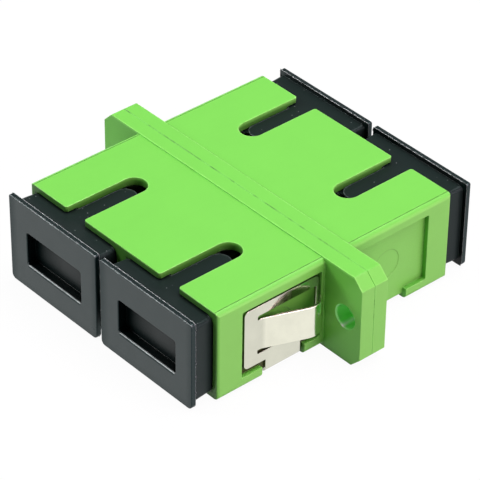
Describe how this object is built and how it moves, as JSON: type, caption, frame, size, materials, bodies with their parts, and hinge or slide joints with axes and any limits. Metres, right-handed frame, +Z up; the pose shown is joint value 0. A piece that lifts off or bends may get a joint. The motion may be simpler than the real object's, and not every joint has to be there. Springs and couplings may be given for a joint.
{
  "type": "fibre optic adapter",
  "caption": "Flanged duplex adapter for square push-pull fibre plugs, with a panel snap clip, sprung latches, split alignment sleeves and pull-off dust caps.",
  "frame": {"origin": "bottom centre of the part, under the middle of the welded joint plane, on the surface the flange stands on", "axes": "+X across the two ports towards the right port, +Y along the fibres towards the rear ports, +Z up towards the key slots"},
  "size_m": [0.0346, 0.0322, 0.0094],
  "materials": {
    "housing_plastic": "fine satin moulded green plastic",
    "clip_steel": "bright rolled spring steel",
    "sleeve_ceramic": "ground white zirconia",
    "holder_plastic": "natural moulded plastic",
    "cap_plastic": "satin charcoal soft plastic"
  },
  "bodies": {
    "adapter": {"housing_front": "housing_plastic", "housing_rear": "housing_plastic", "panel_clip": "clip_steel", "alignment_sleeve_left": "sleeve_ceramic", "alignment_sleeve_right": "sleeve_ceramic", "latch_holder_left_front": "holder_plastic", "latch_holder_left_rear": "holder_plastic", "latch_holder_right_front": "holder_plastic", "latch_holder_right_rear": "holder_plastic"},
    "dust_cap_left_front": {"dust_cap_left_front": "cap_plastic"},
    "dust_cap_left_rear": {"dust_cap_left_rear": "cap_plastic"},
    "dust_cap_right_front": {"dust_cap_right_front": "cap_plastic"},
    "dust_cap_right_rear": {"dust_cap_right_rear": "cap_plastic"}
  },
  "joints": [
    {"name": "cap_left_front_pull", "type": "slide", "parent": "adapter", "child": "dust_cap_left_front", "axis": [0, -1, 0], "range_m": [0, 0.03]},
    {"name": "cap_left_rear_pull", "type": "slide", "parent": "adapter", "child": "dust_cap_left_rear", "axis": [0, 1, 0], "range_m": [0, 0.03]},
    {"name": "cap_right_front_pull", "type": "slide", "parent": "adapter", "child": "dust_cap_right_front", "axis": [0, -1, 0], "range_m": [0, 0.03]},
    {"name": "cap_right_rear_pull", "type": "slide", "parent": "adapter", "child": "dust_cap_right_rear", "axis": [0, 1, 0], "range_m": [0, 0.03]}
  ]
}
